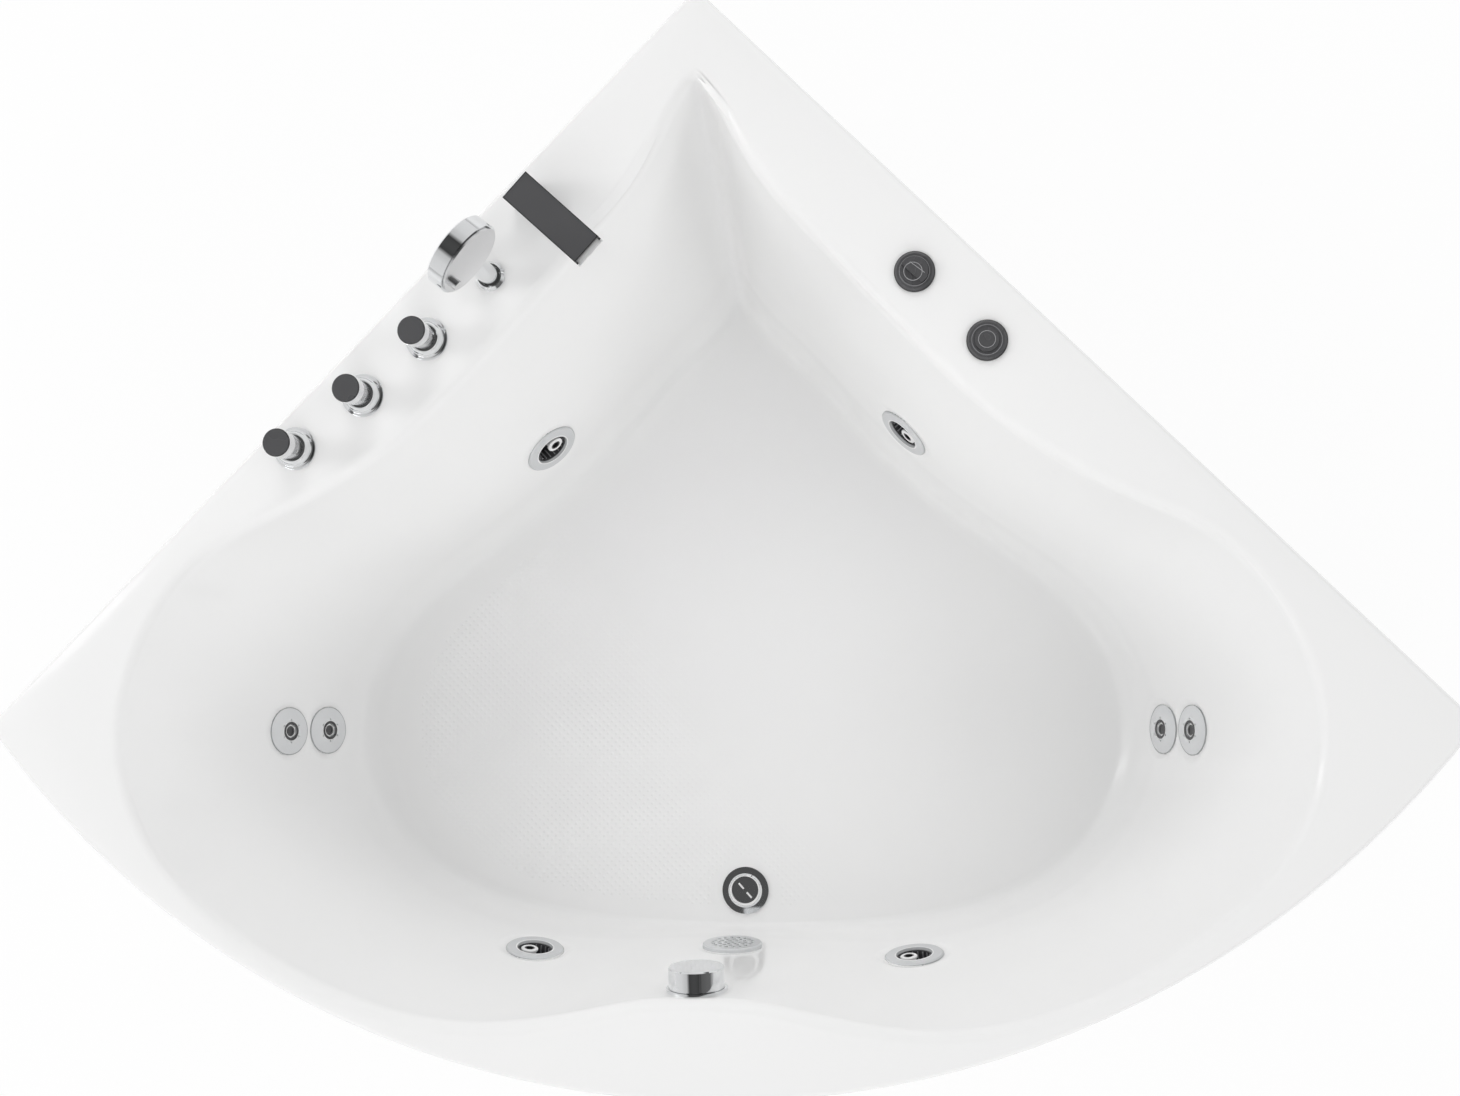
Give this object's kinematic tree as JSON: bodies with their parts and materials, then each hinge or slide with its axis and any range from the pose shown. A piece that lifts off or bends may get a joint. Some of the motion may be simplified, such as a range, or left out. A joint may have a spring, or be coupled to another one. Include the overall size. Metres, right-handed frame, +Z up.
{
  "type": "corner bathtub with water jets",
  "caption": "Corner bathtub with a bowed front, deck-mounted taps and spout, hand shower, wall jets, overflow, pop-up waste and pump under the rim.",
  "frame": {"origin": "on the floor under the middle of the tub's footprint", "axes": "+Z up, +Y towards the corner of the room, +X to the right as seen by someone who faces the corner"},
  "size_m": [1.97, 1.473, 0.777],
  "materials": {
    "acrylic": "gloss white sanitary acrylic",
    "frame_paint": "grey powder coat on steel tube",
    "board": "sealed board",
    "foot_rubber": "moulded rubber",
    "zinc": "zinc plated steel",
    "jet_ring": "light grey plastic",
    "dark_cup": "dark glossy plastic",
    "white_plastic": "white plastic",
    "back_jet": "pale translucent plastic",
    "pvc": "white pipe plastic",
    "air_pipe": "pale grey pipe plastic",
    "chrome": "polished chrome",
    "satin": "satin chrome",
    "graphite": "dark grey satin",
    "brass": "cast brass",
    "copper": "copper tube",
    "pump_black": "black moulded plastic",
    "motor_paint": "dark paint on ribbed aluminium"
  },
  "bodies": {
    "tub": {"tub_shell": "acrylic", "apron": "acrylic", "apron_brackets": "frame_paint", "apron_screws": "zinc", "base_board": "board", "frame_perimeter": "frame_paint", "frame_hubs": "frame_paint", "frame_cross_rails": "frame_paint", "frame_posts": "frame_paint", "foot_pads": "foot_rubber", "foot_rods": "zinc", "foot_nuts": "zinc", "jet_flanges": "jet_ring", "jet_sockets": "dark_cup", "wall_nuts": "pvc", "jet_bodies": "pvc", "back_jet_flanges": "back_jet", "back_jet_inserts": "white_plastic", "back_jet_bodies": "pvc", "suction_flange": "jet_ring", "suction_grille": "jet_ring", "suction_body": "pvc", "suction_pipe": "pvc", "water_ring": "pvc", "air_ring": "air_pipe", "waste_flange": "chrome", "waste_body": "pvc", "waste_pipe": "pvc", "overflow_plate": "chrome", "overflow_body": "pvc", "overflow_pipe": "pvc", "valve_escutcheons": "chrome", "valve_bodies": "brass", "supply_pipes": "copper", "shower_holder": "chrome", "spout_body": "chrome", "spout_plate": "graphite", "spout_shank": "brass", "control_housings": "graphite", "pump_wet_end": "pump_black", "pump_motor": "motor_paint", "terminal_box": "pump_black", "pump_base": "frame_paint", "pump_pads": "foot_rubber"},
    "nozzle_left_wall": {"nozzle_left_wall": "white_plastic"},
    "nozzle_right_wall": {"nozzle_right_wall": "white_plastic"},
    "nozzle_left_front": {"nozzle_left_front": "white_plastic"},
    "nozzle_right_front": {"nozzle_right_front": "white_plastic"},
    "diverter_handle": {"handle_diverter": "satin", "handle_cap_diverter": "graphite"},
    "cold_handle": {"handle_cold": "satin", "handle_cap_cold": "graphite"},
    "hot_handle": {"handle_hot": "satin", "handle_cap_hot": "graphite"},
    "hand_shower": {"hand_shower": "chrome"},
    "shower_face": {"shower_face": "satin"},
    "overflow_knob": {"overflow_knob": "chrome"},
    "waste_plug": {"waste_plug": "chrome"},
    "regulator_knob": {"regulator_knob": "graphite"},
    "button": {"button_cap": "graphite"}
  },
  "joints": [
    {"name": "nozzle_turn_left_wall", "type": "hinge", "parent": "tub", "child": "nozzle_left_wall", "pos_m": [-0.26915, 0.15786, 0.27874], "axis": [0.6709, -0.6931, 0.2637], "continuous": true},
    {"name": "nozzle_turn_right_wall", "type": "hinge", "parent": "tub", "child": "nozzle_right_wall", "pos_m": [0.2574, 0.17014, 0.27874], "axis": [-0.6765, -0.688, 0.2626], "continuous": true},
    {"name": "nozzle_turn_left_front", "type": "hinge", "parent": "tub", "child": "nozzle_left_front", "pos_m": [-0.28812, -0.58062, 0.29177], "axis": [0.122, 0.9649, 0.2324], "continuous": true},
    {"name": "nozzle_turn_right_front", "type": "hinge", "parent": "tub", "child": "nozzle_right_front", "pos_m": [0.26608, -0.58293, 0.29178], "axis": [-0.0823, 0.9715, 0.2221], "continuous": true},
    {"name": "diverter_turn", "type": "hinge", "parent": "tub", "child": "diverter_handle", "pos_m": [-0.36982, 0.27265, 0.58], "axis": [0, 0, 1], "range_deg": [-60, 60]},
    {"name": "cold_turn", "type": "hinge", "parent": "tub", "child": "cold_handle", "pos_m": [-0.45891, 0.1977, 0.58], "axis": [0, 0, 1], "range_deg": [0, 90]},
    {"name": "hot_turn", "type": "hinge", "parent": "tub", "child": "hot_handle", "pos_m": [-0.55366, 0.12698, 0.58], "axis": [0, 0, 1], "range_deg": [0, 90]},
    {"name": "hand_shower_lift", "type": "slide", "parent": "tub", "child": "hand_shower", "axis": [0, 0, 1], "range_m": [0, 0.06]},
    {"name": "spray_turn", "type": "hinge", "parent": "hand_shower", "child": "shower_face", "pos_m": [-0.28115, 0.35566, 0.725], "axis": [0.788, -0.6157, 0], "range_deg": [-25, 25]},
    {"name": "overflow_turn", "type": "hinge", "parent": "tub", "child": "overflow_knob", "pos_m": [-0.00999, -0.60059, 0.52489], "axis": [-0.0068, 0.994, 0.1095], "range_deg": [0, 90]},
    {"name": "plug_lift", "type": "slide", "parent": "tub", "child": "waste_plug", "axis": [0, 0, 1], "range_m": [0, 0.01]},
    {"name": "regulator_turn", "type": "hinge", "parent": "tub", "child": "regulator_knob", "pos_m": [0.29112, 0.34385, 0.58], "axis": [0, 0, 1], "range_deg": [0, 180]},
    {"name": "button_press", "type": "slide", "parent": "tub", "child": "button", "axis": [0, 0, -1], "range_m": [0, 0.004], "stiffness_N_per_m": 600, "springref_m": -0.002}
  ],
  "couplings": [
    {"joint": "plug_lift", "follows": "overflow_turn", "m_per_rad": 0.0063661}
  ]
}
